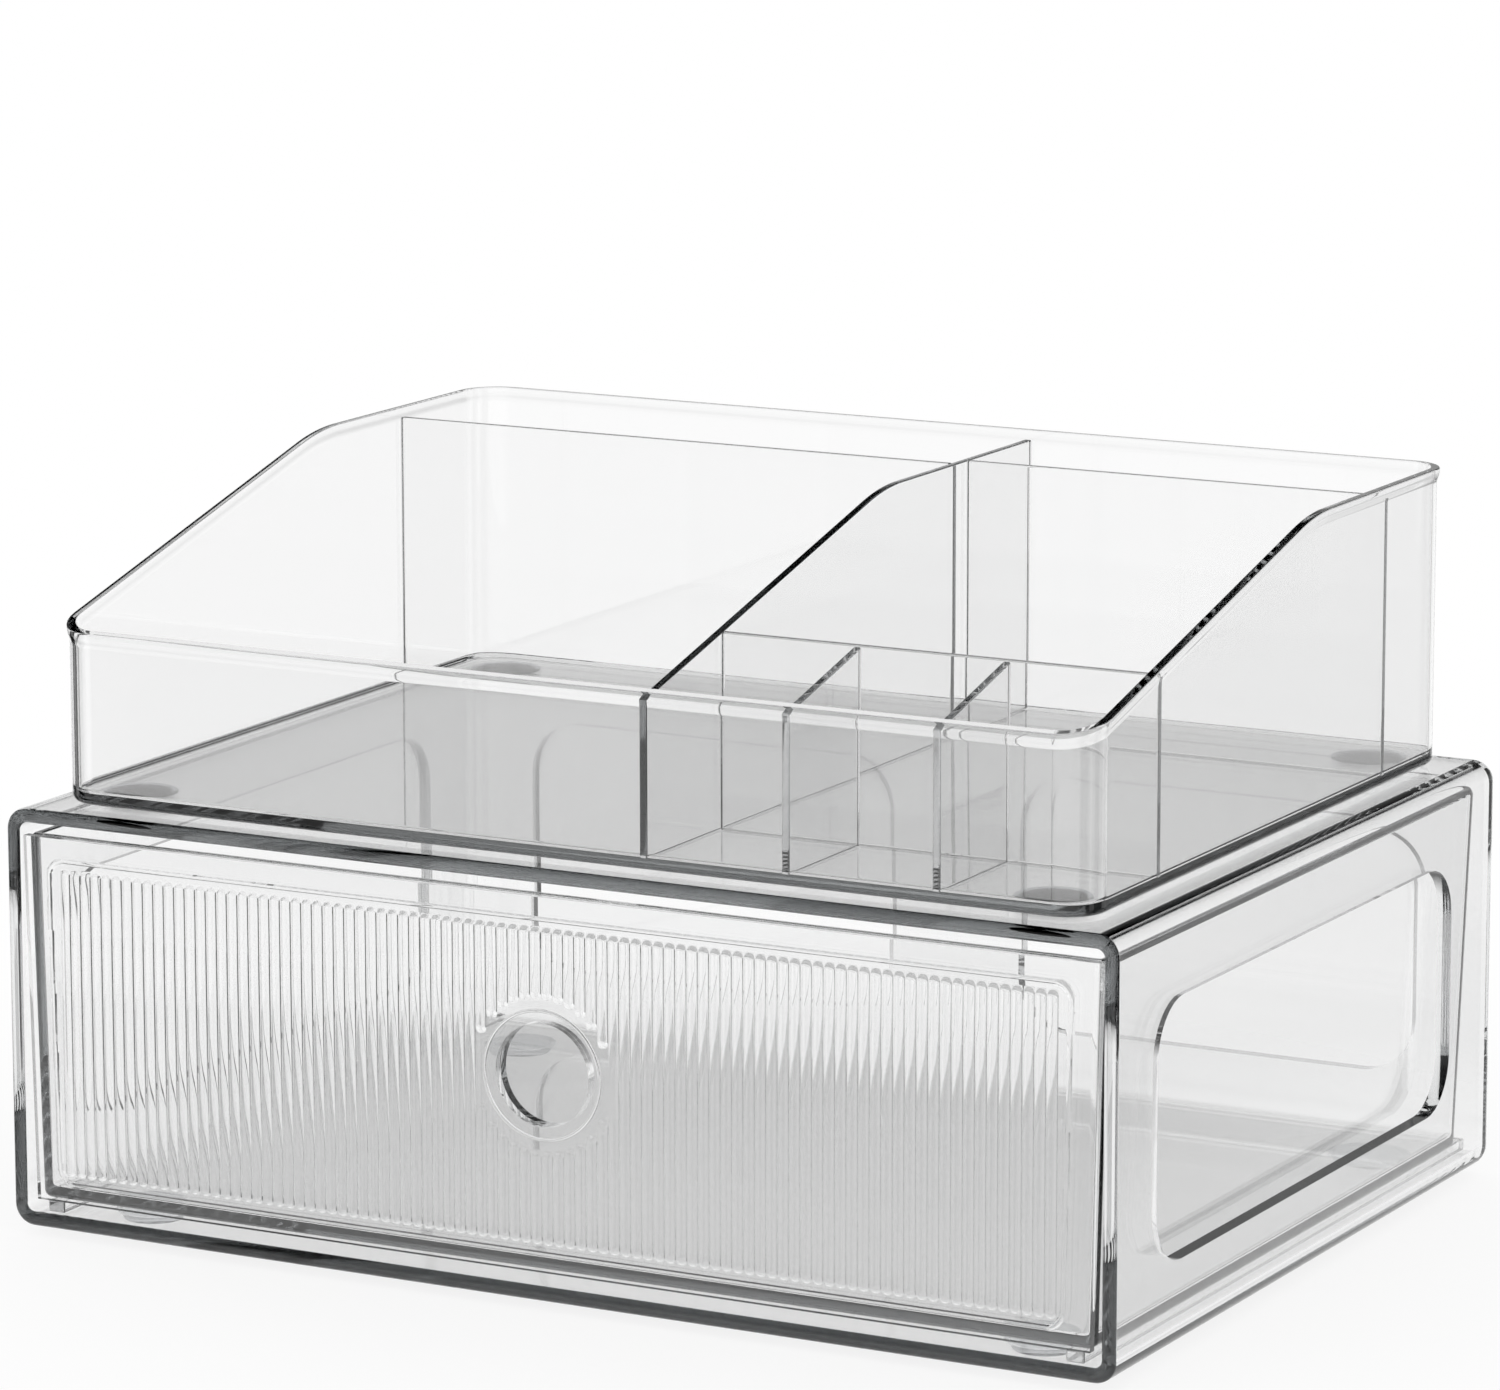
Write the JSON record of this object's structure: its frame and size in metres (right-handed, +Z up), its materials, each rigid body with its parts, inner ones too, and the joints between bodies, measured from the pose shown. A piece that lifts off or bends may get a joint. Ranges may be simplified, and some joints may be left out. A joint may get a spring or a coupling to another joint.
{
  "type": "makeup organizer",
  "caption": "Clear plastic makeup organizer: a windowed box with a ribbed-front sliding drawer, and a lift-off divided tray with sloping sides on top.",
  "frame": {"origin": "centre of the footprint, on the surface that the cabinet's pads stand on", "axes": "+Z up, +X to the right as seen from the front, the drawer opens towards -Y"},
  "size_m": [0.25, 0.187, 0.1529],
  "materials": {
    "clear_cabinet": "crystal-clear moulded acrylic, polished",
    "clear_drawer": "crystal-clear moulded acrylic, polished, ribbed front",
    "clear_tray": "crystal-clear moulded acrylic, polished",
    "silicone": "translucent soft anti-slip pad"
  },
  "bodies": {
    "cabinet": {"cabinet_shell": "clear_cabinet", "drawer_runner_left": "clear_cabinet", "drawer_runner_right": "clear_cabinet", "cabinet_pad_front_left": "silicone", "cabinet_pad_front_right": "silicone", "cabinet_pad_rear_left": "silicone", "cabinet_pad_rear_right": "silicone"},
    "drawer": {"drawer_tub": "clear_drawer", "drawer_front_panel": "clear_drawer"},
    "tray": {"tray_shell": "clear_tray", "tray_partition": "clear_tray", "tray_back_wall_left": "clear_tray", "tray_back_wall_right": "clear_tray", "tray_cross_wall": "clear_tray", "tray_divider_left": "clear_tray", "tray_divider_right": "clear_tray", "tray_pad_front_left": "silicone", "tray_pad_front_right": "silicone", "tray_pad_rear_left": "silicone", "tray_pad_rear_right": "silicone"}
  },
  "joints": [
    {"name": "drawer_slide", "type": "slide", "parent": "cabinet", "child": "drawer", "axis": [0, -1, 0], "range_m": [0, 0.14]},
    {"name": "tray_lift", "type": "slide", "parent": "cabinet", "child": "tray", "axis": [0, 0, 1], "range_m": [0, 0.045]}
  ]
}
